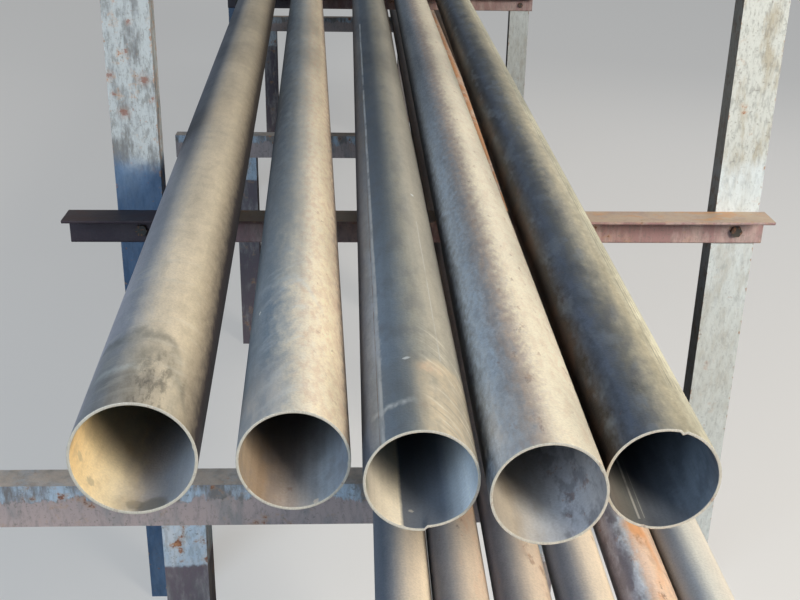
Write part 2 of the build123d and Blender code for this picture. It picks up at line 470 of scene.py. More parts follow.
beam_paint = trestle_finish(
    "trestle_beam_paint", paint_ends=0.638, unevenness=0.07, stain=(0.20, 0.18, 0.17, 1.0),
    bare_colour=(0.42, 0.33, 0.31, 1.0), rust=0.25,
)
leg_paint = trestle_finish(
    "trestle_leg_paint", paint_ends=0.527, unevenness=0.02, stain=(0.56, 0.58, 0.60, 1.0),
    bare_colour=(0.15, 0.115, 0.13, 1.0), rust=0.30,
)
for trestle in ("front", "middle", "rear"):
    dress(trestle + "_trestle_beam", beam_paint)
    dress(trestle + "_trestle_left_leg", leg_paint)
    dress(trestle + "_trestle_right_leg", leg_paint)


# Small tubes: narrow welded tubes in stock lengths, sawn square, lying on the trestles
# Grey steel under brown dust, with painted light on the upper right and painted shade on the left
# and below; the fifth has stood in the wet and is orange, white and grey

# Place on a tube: distance from the near end, and angle to the right of top and of bottom
tube_place, given, result = new_group(
    "tube_place", {"Place": here}, ("Along", "Around", "Inside")
)
parts = split(tube_place, given["Place"])
tube_place.links.new(parts["Y"], result["Along"])
tube_place.links.new(calc(tube_place, "ARCTAN2", parts["X"], parts["Z"]), result["Around"])
downward = times(tube_place, parts["Z"], -1.0)
tube_place.links.new(calc(tube_place, "ARCTAN2", parts["X"], downward), result["Inside"])

# Mill finish: fine streaks along the tube, soft clouds, bands round it and a grain
mill_finish, given, result = new_group(
    "mill_finish",
    {"Place": here, "Streaks": 0.5, "Clouds": 0.5, "Bands": 0.5},
    ("Tone", "Roughness", "Height"),
)
place = given["Place"]
streaks = drawn_speckle(mill_finish, place, (120.0, 1.6, 120.0), 3.0)
clouds = drawn_speckle(mill_finish, place, (10.0, 4.0, 10.0), 4.0, 0.6)
bands = drawn_speckle(mill_finish, place, (4.0, 30.0, 4.0), 3.0, 0.6)
grain = speckle(mill_finish, place, 380.0, 2.0)
tone = 1.0
for layer, weight in (
    (streaks, given["Streaks"]),
    (clouds, given["Clouds"]),
    (bands, given["Bands"]),
    (grain, 0.4),
):
    tone = uneven(mill_finish, tone, layer, weight)
mill_finish.links.new(tone, result["Tone"])
mill_finish.links.new(spread(mill_finish, clouds, 0.25, 0.75, 0.40, 0.58), result["Roughness"])
mill_finish.links.new(calc(mill_finish, "MULTIPLY_ADD", streaks, 0.5, grain), result["Height"])


def sector(tree, angle, left, right, soft=12.0):
    rising = spread(tree, angle, radians(left - soft), radians(left + soft))
    falling = spread(tree, angle, radians(right + soft), radians(right - soft))
    return times(tree, rising, falling)


# Colours by the angle round a wall, from a few that the maker names, with a wavering edge; they
# hold painted light and shade as well as the wall's own colours
def colours_and_light_round(tree, place, angle, stops, waver, ragged):
    shift = drawn_speckle(tree, place, (5.0, 1.1, 5.0), 4.0, 0.6)
    shifted = uneven(tree, angle, shift, waver)
    shift = drawn_speckle(tree, place, (130.0, 50.0, 130.0), 3.0, 0.65)
    shifted = uneven(tree, shifted, shift, ragged)
    turned = calc(tree, "MULTIPLY_ADD", shifted, 0.5 / pi, 0.5)
    ramp = new_node(tree, "ShaderNodeValToRGB", {"Fac": turned})
    elements = ramp.color_ramp.elements
    elements[0].position = 0.5 + stops[0][0] / 360
    elements[0].color = (*stops[0][1], 1.0)
    elements[1].position = 0.5 + stops[-1][0] / 360
    elements[1].color = (*stops[-1][1], 1.0)
    for degrees_round, shade in stops[1:-1]:
        elements.new(0.5 + degrees_round / 360).color = (*shade, 1.0)
    return ramp.outputs["Color"]


def tube_mapping(tree, end, turn):
    spot = object_place(tree)
    inputs = {"Vector": spot, "Location": end, "Rotation": (0.0, 0.0, -turn)}
    return new_node(tree, "ShaderNodeMapping", inputs, vector_type="TEXTURE").outputs["Vector"]


def wall_finish(name, end, turn, look, side, marks=()):
    finish, tree, shader = new_finish(name, look.get("metallic", 0.2), 0.55)
    shader.inputs["Specular IOR Level"].default_value = look.get("gloss", 0.5)
    place = tube_mapping(tree, end, turn)
    spot = use_group(tree, tube_place, {"Place": place})
    mill_inputs = dict(zip(("Streaks", "Clouds", "Bands"), look["mill"]))
    mill = use_group(tree, mill_finish, {"Place": place, **mill_inputs})
    waver, ragged = look.get("waver", 0.4), look.get("ragged", 0.3)
    colour = colours_and_light_round(tree, place, spot[side], look["round"], waver, ragged)
    colour = scaled(tree, colour, mill["Tone"])
    # Painted shade: a bore darkens inward from its near end
    if "depth_shade" in look:
        inward = spread(tree, spot["Along"], 0.02, 0.16, 1.0, look["depth_shade"])
        colour = scaled(tree, colour, inward)
    for size, amount, strength, left, right in look.get("rust", ()):
        drawn = stretch(tree, place, (1.0, 0.45, 1.0))
        rust = use_group(tree, rust_bloom, {"Place": drawn, "Size": size, "Amount": amount})
        mask = times(tree, rust["Mask"], sector(tree, spot[side], left, right), strength)
        colour = lay_over(tree, mask, colour, rust["Color"])
    for make_mask, shade in marks:
        colour = lay_over(tree, make_mask(tree, place, spot), colour, (*shade, 1.0))
    tree.links.new(colour, shader.inputs["Base Color"])
    tree.links.new(mill["Roughness"], shader.inputs["Roughness"])
    bump(tree, shader, mill["Height"], 0.0003)
    return finish


sawn_rim, tree, shader = new_finish("sawn_rim", 0.5, 0.42)
place = object_place(tree)
saw_marks = drawn_speckle(tree, place, (700.0, 60.0, 220.0))
rust = use_group(tree, rust_bloom, {"Place": place, "Size": 60.0, "Amount": 0.30})
colour = lay_over(tree, saw_marks, (0.42, 0.39, 0.33, 1.0), (0.80, 0.76, 0.66, 1.0))
colour = lay_over(tree, times(tree, rust["Mask"], 0.5), colour, rust["Color"])
tree.links.new(colour, shader.inputs["Base Color"])
bump(tree, shader, saw_marks, 0.0002)


# A tube is drawn out from a circle ring by ring, given its wall, and its sawn edges are broken
# Its bore's mount lies on the axis, a little inside the near end
mount_depth = 0.05
rim_width = 0.00045


def make_tube(name, wall, sides, rings):
    bore = mounts[name + "_bore"]
    outward = Vector(bore["axis"])
    end = Vector(bore["pos_m"]) + mount_depth * outward
    turn = atan2(-outward.x, -outward.y)
    radius = bore["dims"]["r_mm"] / 1000 + wall
    bpy.ops.object.select_all(action="DESELECT")
    bpy.ops.mesh.primitive_circle_add(vertices=sides, radius=radius)
    tube = bpy.context.object
    tube.name = name + "_steel"
    bpy.ops.object.mode_set(mode="EDIT")
    bpy.ops.mesh.select_all(action="SELECT")
    for near, far in zip(rings, rings[1:]):
        step = (0.0, 0.0, far - near)
        bpy.ops.mesh.extrude_region_move(TRANSFORM_OT_translate={"value": step})
    bpy.ops.mesh.select_all(action="SELECT")
    bpy.ops.mesh.normals_make_consistent(inside=False)
    bpy.ops.object.mode_set(mode="OBJECT")
    thickness = tube.modifiers.new("wall", "SOLIDIFY")
    thickness.thickness = wall
    thickness.offset = -1.0
    rim = tube.modifiers.new("rim", "BEVEL")
    rim.limit_method = "ANGLE"
    rim.angle_limit = radians(60.0)
    rim.width = rim_width
    rim.segments = 2
    bpy.ops.object.modifier_apply(modifier="wall")
    bpy.ops.object.modifier_apply(modifier="rim")
    # The bore takes the second finish, the rims the third
    for face in tube.data.polygons:
        if abs(face.normal.z) > 0.3:
            face.material_index = 2
        elif Vector(face.center[:2]).length < radius - wall / 2:
            face.material_index = 1
    return tube, end, turn, radius


def lay_tube(tube, end, turn, finishes, node_name):
    for finish in finishes:
        tube.data.materials.append(finish)
    tube.rotation_euler = (-pi / 2, 0.0, -turn)
    tube.location = end
    bpy.ops.object.select_all(action="DESELECT")
    tube.select_set(True)
    bpy.context.view_layer.objects.active = tube
    bpy.ops.object.transform_apply(location=True, rotation=True, scale=True)
    bpy.ops.object.shade_smooth_by_angle(angle=radians(35.0))
    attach(tube, "root")
    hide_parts(node_name)


# A mark is what makes its mask, with the shade that is laid on there
# This one is patches in a sector of the wall, drawn out along the tube
def mottle_mark(size, left, right, shade, strength, start=0.45, soft=0.16, side="Around"):
    def mask(tree, place, spot):
        drawn = stretch(tree, place, (1.0, 0.4, 1.0))
        patches = spread(tree, speckle(tree, drawn, size, 3.0, 0.6), start, start + soft)
        there = sector(tree, spot[side], left, right)
        return times(tree, patches, there, strength)
    return mask, shade


# A look has colours by degrees round the wall, painted light and shade among them, the streaks,
# clouds and bands of its mill finish,
# and rust by its size, amount, strength and sector
small_wall = 0.003
small_sides = 64
small_rings = [0.0, 0.003, 0.01, 0.03, 0.08, 0.2, 0.5, 1.0, 2.0, 3.0, 4.0, 5.0]
small_rings += [5.6, 5.9, 5.97, 6.0]
# Painted light and shade: these colours round are bright on the upper right and dark on the left
# and below, over the dust and steel
dusty_lit_round = [
    (-150, (0.26, 0.26, 0.27)), (-75, (0.20, 0.22, 0.26)), (-46, (0.19, 0.21, 0.25)),
    (-24, (0.38, 0.37, 0.38)), (8, (0.82, 0.70, 0.56)), (50, (0.90, 0.76, 0.58)),
    (85, (0.30, 0.27, 0.25)), (150, (0.26, 0.26, 0.27)),
]
brown_lit_round = [
    (-150, (0.24, 0.22, 0.22)), (-75, (0.19, 0.18, 0.20)), (-50, (0.15, 0.15, 0.17)),
    (-22, (0.42, 0.38, 0.36)), (15, (0.80, 0.66, 0.52)), (50, (0.76, 0.60, 0.46)),
    (80, (0.28, 0.24, 0.22)), (150, (0.24, 0.22, 0.22)),
]
cream_lit_round = [
    (-150, (0.26, 0.26, 0.27)), (-75, (0.38, 0.36, 0.33)), (-30, (0.36, 0.39, 0.43)),
    (0, (0.70, 0.68, 0.61)), (45, (0.84, 0.78, 0.68)), (95, (0.40, 0.37, 0.32)),
    (150, (0.26, 0.26, 0.27)),
]
rusty_lit_round = [
    (-150, (0.22, 0.18, 0.18)), (-75, (0.34, 0.30, 0.34)), (-42, (0.44, 0.42, 0.48)),
    (-24, (0.80, 0.84, 0.90)), (-6, (0.84, 0.63, 0.50)), (25, (0.87, 0.62, 0.44)),
    (80, (0.40, 0.31, 0.26)), (150, (0.22, 0.18, 0.18)),
]
small_looks = {
    "small_tube_1": {
        "round": dusty_lit_round, "mill": (0.25, 0.5, 0.15), "rust": [(45.0, 0.22, 0.4, -40, 80)],
    },
    "small_tube_2": {
        "round": brown_lit_round, "mill": (0.25, 0.5, 0.15), "rust": [(40.0, 0.34, 0.6, -40, 80)],
    },
    "small_tube_3": {
        "round": brown_lit_round, "mill": (0.25, 0.6, 0.15), "rust": [(50.0, 0.28, 0.5, -60, 80)],
    },
    "small_tube_4": {
        "round": dusty_lit_round, "mill": (0.25, 0.5, 0.15), "rust": [(50.0, 0.18, 0.4, -40, 80)],
    },
    "small_tube_5": {
        "round": rusty_lit_round, "mill": (0.3, 0.8, 0.3), "waver": 0.5, "ragged": 0.8,
        "rust": [(70.0, 0.36, 0.6, -90, 90)],
    },
    "small_tube_6": {
        "round": cream_lit_round, "mill": (0.25, 0.4, 0.1), "rust": [(70.0, 0.10, 0.3, -40, 80)],
    },
}
small_marks = {
    "small_tube_2": [mottle_mark(30.0, 5, 70, (0.80, 0.50, 0.32), 0.50, 0.50)],
    "small_tube_3": [mottle_mark(40.0, 5, 70, (0.48, 0.34, 0.26), 0.50, 0.50)],
    "small_tube_5": [
        mottle_mark(60.0, -80, -20, (0.20, 0.17, 0.19), 0.70, 0.46),
        mottle_mark(19.0, -14, 32, (0.86, 0.42, 0.18), 0.95, 0.40, 0.12),
        mottle_mark(60.0, -10, 30, (0.42, 0.20, 0.11), 0.30, 0.52),
    ],
}
small_bore_look = {
    "round": [
        (-179, (0.20, 0.18, 0.16)), (-90, (0.42, 0.35, 0.27)), (-20, (0.45, 0.38, 0.30)),
        (60, (0.32, 0.32, 0.33)), (179, (0.20, 0.18, 0.16)),
    ],
    "mill": (0.5, 1.0, 0.2),
    "rust": [(50.0, 0.3, 0.5, -170, 170)],
}
for node_name, look in small_looks.items():
    tube, end, turn, _ = make_tube(node_name, small_wall, small_sides, small_rings)
    marks = small_marks.get(node_name, ())
    skin = wall_finish(node_name + "_skin", end, turn, look, "Around", marks)
    bore_skin = wall_finish(node_name + "_inside", end, turn, small_bore_look, "Inside")
    lay_tube(tube, end, turn, (skin, bore_skin, sawn_rim), node_name)


# Large tubes: thin-walled welded tubes in stock lengths, side by side on the upper beams
# Grey mill steel with dust on the upper side, and painted light and shade round it; each has its
# own hand marks, lines and stains

# A line scratched or drawn along a tube, broken here and there
drawn_line, given, result = new_group(
    "drawn_line",
    {"Place": here, "Angle": 0.0, "Centre": 0.0, "Width": 0.01, "Start": 0.0, "Stop": 6.0},
    ("Mask",),
)
along = split(drawn_line, given["Place"])["Y"]
wander = drawn_speckle(drawn_line, given["Place"], (0.0, 4.0, 0.0), 2.0)
centre = uneven(drawn_line, given["Centre"], wander, 0.06)
away = calc(drawn_line, "ABSOLUTE", calc(drawn_line, "SUBTRACT", given["Angle"], centre))
line = spread(drawn_line, away, given["Width"], times(drawn_line, given["Width"], 0.3))
after = calc(drawn_line, "GREATER_THAN", along, given["Start"])
before = calc(drawn_line, "LESS_THAN", along, given["Stop"])
breaks = drawn_speckle(drawn_line, given["Place"], (30.0, 12.0, 30.0), 4.0, 0.7)
breaks = spread(drawn_line, breaks, 0.30, 0.58)
drawn_line.links.new(times(drawn_line, line, after, before, breaks), result["Mask"])

# A nick, fleck or stain at one place on a tube; round the tube it is measured at this radius
mark_radius = 0.057
fleck, given, result = new_group(
    "fleck",
    {
        "Place": here, "Angle": 0.0, "Along": 0.0, "Centre": 0.0, "Size": 0.004, "Slender": 1.0,
        "Core": 0.6,
    },
    ("Mask",),
)
along = split(fleck, given["Place"])["Y"]
up = times(fleck, calc(fleck, "SUBTRACT", along, given["Along"]), given["Slender"])
over = calc(fleck, "SUBTRACT", given["Angle"], given["Centre"])
over = times(fleck, over, mark_radius)
away = calc(fleck, "SQRT", calc(fleck, "MULTIPLY_ADD", up, up, times(fleck, over, over)))
ragged = uneven(fleck, away, speckle(fleck, given["Place"], 260.0), 0.006)
inner = times(fleck, given["Size"], given["Core"])
fleck.links.new(spread(fleck, ragged, given["Size"], inner), result["Mask"])

# Where a sling or a hand has rubbed: a band part way round, bent along the tube to its right
# Near is the side of it towards the tube's near end; the far side of it carries the painted shade
# that darkens a tube away from its near end
part_ring, given, result = new_group(
    "part_ring",
    {"Place": here, "Angle": 0.0, "Along": 0.1, "Centre": 0.0, "Bend": 0.0, "Width": 0.01},
    ("Mask", "Near"),
)
along = split(part_ring, given["Place"])["Y"]
turned = calc(part_ring, "SUBTRACT", given["Angle"], given["Centre"])
turned = calc(part_ring, "MAXIMUM", turned, 0.0)
wander = drawn_speckle(part_ring, given["Place"], (26.0, 9.0, 26.0), 3.0)
bent = times(part_ring, turned, turned)
middle = calc(part_ring, "MULTIPLY_ADD", bent, given["Bend"], given["Along"])
middle = uneven(part_ring, middle, wander, 0.06)
past = calc(part_ring, "SUBTRACT", along, middle)
rubbed = speckle(part_ring, stretch(part_ring, given["Place"], (1.0, 0.5, 1.0)), 110.0)
rubbed = spread(part_ring, rubbed, 0.3, 0.6, 0.4, 1.0)
band = spread(part_ring, calc(part_ring, "ABSOLUTE", past), given["Width"], 0.0)
part_ring.links.new(times(part_ring, band, rubbed), result["Mask"])
before = times(part_ring, given["Width"], -1.0)
part_ring.links.new(spread(part_ring, past, given["Width"], before), result["Near"])


def line_mark(angle, width, start, stop, shade, side="Around"):
    def mask(tree, place, spot):
        inputs = {"Place": place, "Angle": spot[side], "Centre": radians(angle), "Width": width}
        return use_group(tree, drawn_line, {**inputs, "Start": start, "Stop": stop})["Mask"]
    return mask, shade


# What a group needs to know of where its mark is on a wall
def mark_place(place, angle, along, centre):
    return {"Place": place, "Angle": angle, "Along": along, "Centre": radians(centre)}


def fleck_mark(along, angle, size, slender, shade, strength=1.0, side="Around"):
    def mask(tree, place, spot):
        inputs = mark_place(place, spot[side], along, angle)
        mark = use_group(tree, fleck, {**inputs, "Size": size, "Slender": slender})
        return times(tree, mark["Mask"], strength)
    return mask, shade


def smudge_mark(along, angle, size, slender, shade, strength):
    def mask(tree, place, spot):
        inputs = mark_place(place, spot["Around"], along, angle)
        mark = use_group(tree, fleck, {**inputs, "Size": size, "Slender": slender, "Core": 0.0})
        broken = speckle(tree, stretch(tree, place, (1.0, 0.5, 1.0)), 150.0, 3.0)
        broken = spread(tree, broken, 0.35, 0.60, 0.3, 1.0)
        return times(tree, mark["Mask"], broken, strength)
    return mask, shade


def ring_mark(along, centre, bend, width, left, right, shade, strength):
    def mask(tree, place, spot):
        inputs = mark_place(place, spot["Around"], along, centre)
        ring = use_group(tree, part_ring, {**inputs, "Bend": bend, "Width": width})
        return times(tree, ring["Mask"], sector(tree, spot["Around"], left, right), strength)
    return mask, shade


# A zone on the near or the far side of such a band, broken up by smears; such zones also lay
# painted shade and painted light
# Smears: their fineness, the levels where they start and are full, and what is left between them
soft_smears = (55.0, 0.30, 0.70, 0.45)
torn_smears = (130.0, 0.46, 0.62, 0.0)


def zone_mark(
    along, centre, bend, width, left, right, shade, strength, side="Near", smears=soft_smears
):
    def mask(tree, place, spot):
        fineness, low, high, least = smears
        inputs = mark_place(place, spot["Around"], along, centre)
        zone = use_group(tree, part_ring, {**inputs, "Bend": bend, "Width": width})["Near"]
        zone = zone if side == "Near" else calc(tree, "SUBTRACT", 1.0, zone)
        cloud = speckle(tree, stretch(tree, place, (1.0, 0.3, 1.0)), fineness, 4.0, 0.65)
        cloud = spread(tree, cloud, low, high, least, 1.0)
        return times(tree, zone, cloud, sector(tree, spot["Around"], left, right), strength)
    return mask, shade


# Painted shade: a wall that darkens, in clouds, away from the near end
def far_shade_mark(along, width, left, right, shade, strength, least):
    clouds = (9.0, 0.35, 0.75, least)
    return zone_mark(along, 0, 0.0, width, left, right, shade, strength, "Far", clouds)


# Fine strokes across the tube, leaning along it by so many metres a radian
def stroke_mark(fineness, slant, start, stop, left, right, shade, strength):
    def mask(tree, place, spot):
        leant = calc(tree, "MULTIPLY_ADD", spot["Around"], slant, spot["Along"])
        across = times(tree, leant, fineness)
        round_it = times(tree, spot["Around"], 1.2)
        flat = new_node(tree, "ShaderNodeCombineXYZ", {"X": across, "Y": round_it}).outputs[0]
        strokes = spread(tree, speckle(tree, flat, 1.0, 3.0, 0.6), 0.52, 0.66)
        after = spread(tree, leant, start - 0.02, start + 0.02)
        before = spread(tree, leant, stop + 0.03, stop - 0.03)
        there = sector(tree, spot["Around"], left, right)
        return times(tree, strokes, after, before, there, strength)
    return mask, shade


wide_wall = 0.0032
large_wall = 0.0029
large_sides = 96
large_rings = [0.0, 0.003, 0.008, 0.015, 0.025, 0.04, 0.06, 0.09, 0.13, 0.2, 0.3, 0.5]
large_rings += [0.8, 1.3, 2.0, 3.0, 4.0, 4.8, 5.4, 5.75, 5.9, 5.96, 5.985, 6.0]
# Painted light and shade: each look's colours round are lit on the upper right and dark on the
# shaded sides and underside
large_looks = {
    "large_tube_1": {
        "round": [
            (-150, (0.32, 0.33, 0.34)), (-60, (0.80, 0.74, 0.77)), (-28, (0.44, 0.45, 0.49)),
            (2, (0.88, 0.77, 0.61)), (38, (0.66, 0.57, 0.42)), (52, (0.48, 0.40, 0.29)),
            (73, (0.06, 0.05, 0.05)), (95, (0.08, 0.08, 0.09)), (150, (0.32, 0.33, 0.34)),
        ],
        "metallic": 0.5, "gloss": 0.15, "mill": (0.10, 0.35, 0.25), "waver": 0.3,
        "rust": [(60.0, 0.10, 0.35, -40, 60)],
    },
    "large_tube_2": {
        "round": [
            (-150, (0.30, 0.31, 0.32)), (-62, (0.46, 0.54, 0.62)), (-36, (0.30, 0.37, 0.45)),
            (0, (0.90, 0.83, 0.70)), (45, (0.97, 0.84, 0.61)), (62, (0.88, 0.73, 0.55)),
            (85, (0.28, 0.23, 0.22)), (150, (0.30, 0.31, 0.32)),
        ],
        "metallic": 0.5, "gloss": 0.15, "mill": (0.12, 0.35, 0.08), "waver": 0.4, "ragged": 0.8,
        "rust": [(85.0, 0.24, 0.35, 10, 80)],
    },
    "large_tube_3": {
        "round": [
            (-150, (0.26, 0.27, 0.28)), (-75, (0.15, 0.16, 0.19)), (-62, (0.23, 0.27, 0.34)),
            (-43, (0.46, 0.51, 0.58)), (-38, (0.26, 0.33, 0.42)), (-18, (0.23, 0.27, 0.31)),
            (6, (0.38, 0.37, 0.32)), (32, (0.53, 0.49, 0.40)), (60, (0.44, 0.41, 0.34)),
            (85, (0.22, 0.21, 0.20)), (150, (0.26, 0.27, 0.28)),
        ],
        "metallic": 0.5, "gloss": 0.15, "mill": (0.22, 0.35, 0.12), "waver": 0.10,
        "rust": [(70.0, 0.12, 0.4, 0, 70)],
    },
    "large_tube_4": {
        "round": [
            (-150, (0.30, 0.30, 0.31)), (-80, (0.14, 0.15, 0.17)), (-55, (0.62, 0.72, 0.84)),
            (-40, (0.62, 0.68, 0.75)), (-27, (0.50, 0.49, 0.50)), (-12, (0.66, 0.55, 0.46)),
            (6, (0.92, 0.83, 0.65)), (55, (0.98, 0.91, 0.74)), (90, (0.36, 0.30, 0.26)),
            (150, (0.30, 0.30, 0.31)),
        ],
        "metallic": 0.5, "gloss": 0.15, "mill": (0.12, 0.35, 0.10), "waver": 0.35, "ragged": 0.7,
        "rust": [(75.0, 0.30, 0.4, -45, 60)],
    },
    "large_tube_5": {
        "round": [
            (-150, (0.14, 0.13, 0.13)), (-78, (0.03, 0.022, 0.02)), (-60, (0.025, 0.02, 0.02)),
            (-35, (0.15, 0.18, 0.24)), (-12, (0.20, 0.20, 0.19)), (18, (0.56, 0.50, 0.36)),
            (45, (0.96, 0.92, 0.72)), (90, (0.40, 0.36, 0.30)), (150, (0.14, 0.13, 0.13)),
        ],
        "metallic": 0.5, "gloss": 0.2, "mill": (0.30, 0.50, 0.10), "waver": 0.35, "ragged": 0.6,
        "rust": [(60.0, 0.20, 0.4, -80, -30)],
    },
}
dark_line = (0.24, 0.20, 0.17)
pale_line = (0.72, 0.74, 0.74)
large_marks = {
    "large_tube_1": [
        far_shade_mark(0.75, 0.45, -115, -16, (0.07, 0.08, 0.10), 0.85, 0.7),
        far_shade_mark(1.20, 0.70, -14, 120, (0.20, 0.16, 0.11), 0.55, 0.5),
        zone_mark(0.160, 0, -0.111, 0.012, -60, 46, (0.38, 0.36, 0.30), 0.45),
        ring_mark(0.156, 0, -0.111, 0.026, -52, 34, (0.18, 0.18, 0.16), 0.50),
        ring_mark(0.118, 0, -0.10, 0.020, -10, 58, (0.20, 0.19, 0.16), 0.35),
        zone_mark(0.070, 30, -0.2, 0.010, -36, 20, (0.27, 0.24, 0.21), 0.60),
        ring_mark(0.082, 90, 0.0, 0.012, -50, 0, (0.74, 0.74, 0.70), 0.70),
        zone_mark(0.112, 18, -0.12, 0.030, -2, 34, (0.09, 0.09, 0.08), 0.55, "Near", torn_smears),
        smudge_mark(0.088, 7.0, 0.007, 0.24, (0.09, 0.09, 0.08), 0.55),
        smudge_mark(0.056, 12.0, 0.006, 0.22, (0.09, 0.09, 0.08), 0.45),
        smudge_mark(0.080, 29.0, 0.007, 0.28, (0.10, 0.10, 0.08), 0.55),
        smudge_mark(0.044, 24.0, 0.006, 0.22, (0.12, 0.11, 0.09), 0.40),
        smudge_mark(0.060, 46.0, 0.006, 0.20, (0.14, 0.13, 0.10), 0.50),
        stroke_mark(60.0, 0.0, 0.02, 0.40, -60, 50, (0.80, 0.76, 0.66), 0.25),
        mottle_mark(90.0, -10, 60, (0.36, 0.31, 0.23), 0.22, 0.40, 0.34),
    ],
    "large_tube_2": [
        far_shade_mark(0.68, 0.42, -115, -8, (0.07, 0.08, 0.10), 0.85, 0.7),
        far_shade_mark(1.10, 0.70, -8, 48, (0.20, 0.16, 0.11), 0.60, 0.5),
        mottle_mark(110.0, 2, 80, (0.64, 0.40, 0.28), 0.35, 0.40, 0.28),
        zone_mark(0.34, -20, -0.10, 0.02, -40, 12, (0.42, 0.44, 0.44), 0.55, "Far"),
        ring_mark(0.345, -20, -0.10, 0.018, -50, 30, (0.80, 0.84, 0.84), 0.35),
        stroke_mark(26.0, -0.03, 0.0, 0.36, -65, 0, (0.20, 0.26, 0.34), 0.20),
        mottle_mark(30.0, -65, -5, (0.22, 0.28, 0.36), 0.30, 0.42, 0.30),
        # Painted highlight: pale bluish strokes and patches high on the left
        stroke_mark(34.0, -0.03, 0.0, 0.45, -45, 14, (0.84, 0.88, 0.90), 0.28),
        mottle_mark(60.0, -60, 5, (0.60, 0.66, 0.70), 0.15, 0.45, 0.25),
        # Painted light: the left side is lighter near the near end
        zone_mark(0.10, 0, 0.0, 0.06, -80, -10, (0.90, 0.83, 0.76), 0.70),
        fleck_mark(0.281, -50.2, 0.0022, 0.5, (0.85, 0.88, 0.88)),
    ],
    "large_tube_3": [
        far_shade_mark(0.75, 0.45, -115, -8, (0.06, 0.07, 0.09), 0.80, 0.7),
        far_shade_mark(1.10, 0.70, -8, 120, (0.14, 0.12, 0.09), 0.55, 0.5),
        mottle_mark(36.0, -60, 20, (0.17, 0.18, 0.19), 0.40, 0.44, 0.24),
        zone_mark(0.150, 30, 0.05, 0.014, 0, 80, (0.80, 0.66, 0.46), 0.75),
        zone_mark(0.150, 90, 0.0, 0.012, -58, -4, (0.24, 0.26, 0.27), 0.45),
        smudge_mark(0.135, 14.0, 0.022, 1.0, (0.70, 0.50, 0.36), 0.55),
        smudge_mark(0.105, 20.0, 0.010, 0.6, (0.36, 0.34, 0.28), 0.55),
        smudge_mark(0.050, 4.0, 0.008, 0.5, (0.40, 0.32, 0.26), 0.50),
        stroke_mark(110.0, 0.058, 0.02, 0.25, 12, 75, (0.88, 0.84, 0.72), 0.60),
        stroke_mark(140.0, 0.058, 0.02, 0.26, 8, 75, (0.30, 0.29, 0.25), 0.45),
        mottle_mark(80.0, 0, 75, (0.34, 0.31, 0.25), 0.30, 0.42, 0.28),
        ring_mark(0.068, 90, 0.0, 0.009, -52, -10, pale_line, 0.90),
        line_mark(-41.0, 0.055, -0.01, 2.4, (0.60, 0.63, 0.65)),
        line_mark(-45.5, 0.014, -0.01, 2.4, dark_line),
        line_mark(30.0, 0.020, 0.16, 0.62, (0.60, 0.59, 0.54)),
        fleck_mark(0.745, 30.4, 0.0035, 0.6, pale_line),
        fleck_mark(0.155, -9.0, 0.0050, 1.4, pale_line, 0.9),
    ],
    "large_tube_4": [
        far_shade_mark(1.25, 0.50, -115, -30, (0.07, 0.08, 0.10), 0.80, 0.7),
        far_shade_mark(1.60, 0.80, -20, 120, (0.30, 0.22, 0.14), 0.25, 0.5),
        mottle_mark(140.0, -75, -8, (0.26, 0.29, 0.35), 0.35, 0.41, 0.26),
        mottle_mark(260.0, -60, 10, (0.92, 0.92, 0.92), 0.20, 0.48, 0.20),
        mottle_mark(40.0, -50, -10, (0.24, 0.25, 0.28), 0.28, 0.42, 0.30),
        # Painted light: the left side is lighter near the near end
        zone_mark(0.10, 0, 0.0, 0.08, -62, -18, (0.92, 0.84, 0.78), 0.45),
        mottle_mark(130.0, -30, 6, (0.42, 0.28, 0.21), 0.40, 0.40, 0.30),
        mottle_mark(95.0, 6, 80, (0.72, 0.52, 0.38), 0.30, 0.43, 0.28),
    ],
    "large_tube_5": [
        far_shade_mark(0.95, 0.50, -115, -36, (0.012, 0.012, 0.014), 0.80, 0.7),
        far_shade_mark(1.40, 0.80, -30, 120, (0.14, 0.12, 0.08), 0.25, 0.5),
        mottle_mark(26.0, -90, -52, (0.12, 0.065, 0.04), 0.60, 0.44, 0.24),
        mottle_mark(28.0, -60, 8, (0.08, 0.09, 0.11), 0.55, 0.40, 0.28),
        mottle_mark(40.0, -60, 0, (0.26, 0.30, 0.35), 0.40, 0.50),
        mottle_mark(50.0, -20, 45, (0.26, 0.25, 0.19), 0.32, 0.42, 0.28),
        smudge_mark(0.088, -12.0, 0.012, 0.5, (0.05, 0.05, 0.05), 0.6),
        line_mark(24.0, 0.016, 0.1, 3.0, (0.66, 0.62, 0.50)),
        line_mark(29.0, 0.012, 0.1, 4.0, (0.30, 0.28, 0.22)),
        line_mark(35.0, 0.014, 0.1, 4.0, (0.42, 0.39, 0.30)),
        line_mark(41.0, 0.010, 0.1, 4.0, (0.40, 0.37, 0.28)),
    ],
}
